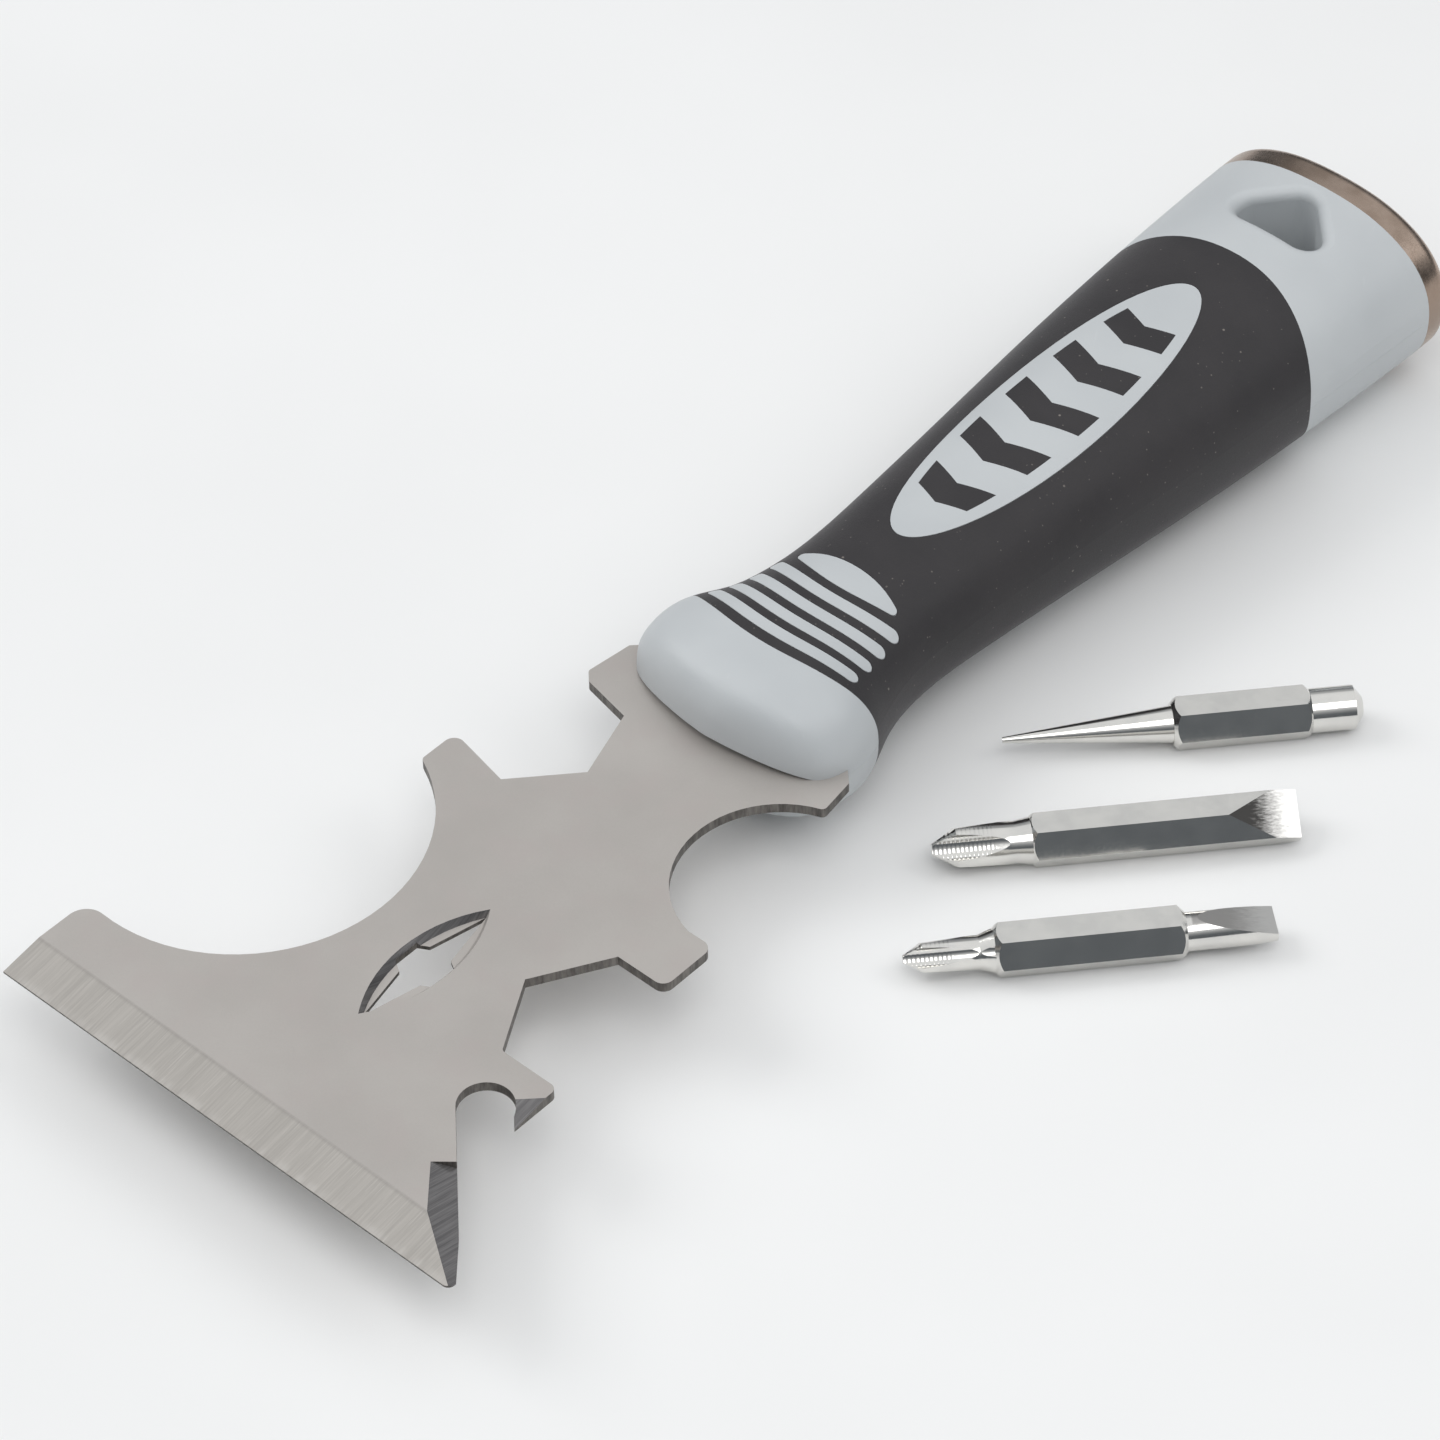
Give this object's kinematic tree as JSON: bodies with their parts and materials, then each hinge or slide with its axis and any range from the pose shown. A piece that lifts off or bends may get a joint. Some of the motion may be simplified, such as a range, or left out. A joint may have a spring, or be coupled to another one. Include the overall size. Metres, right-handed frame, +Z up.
{
  "type": "painters multi tool",
  "caption": "Painter's multi tool: notched steel scraper blade, two-colour handle with hang hole and steel hammer cap, with loose double-ended hex driver bits beside it.",
  "frame": {"origin": "middle of the set's footprint on the table it lies on", "axes": "+Y from the scraping edge to the hammer cap, +X across the blade towards the bits, +Z up"},
  "size_m": [0.1088, 0.2162, 0.0267],
  "materials": {
    "blade_steel": "satin stainless steel, ground bevels",
    "hard_plastic": "moulded, fine satin",
    "soft_rubber": "soft matte thermoplastic rubber",
    "cap_metal": "nickel plated, warm tint",
    "bit_metal": "polished nickel plate"
  },
  "bodies": {
    "tool": {"blade": "blade_steel", "handle_core": "hard_plastic", "soft_grip": "soft_rubber", "badge_motif": "soft_rubber", "hammer_cap": "cap_metal"},
    "nail_set": {"nail_set_bit": "bit_metal"},
    "large_driver": {"large_driver_bit": "bit_metal"},
    "small_driver": {"small_driver_bit": "bit_metal"}
  },
  "joints": [
    {"name": "nail_set_lift", "type": "slide", "parent": "tool", "child": "nail_set", "axis": [0, 0, 1], "range_m": [0, 0.06]},
    {"name": "large_driver_lift", "type": "slide", "parent": "tool", "child": "large_driver", "axis": [0, 0, 1], "range_m": [0, 0.06]},
    {"name": "small_driver_lift", "type": "slide", "parent": "tool", "child": "small_driver", "axis": [0, 0, 1], "range_m": [0, 0.06]}
  ]
}
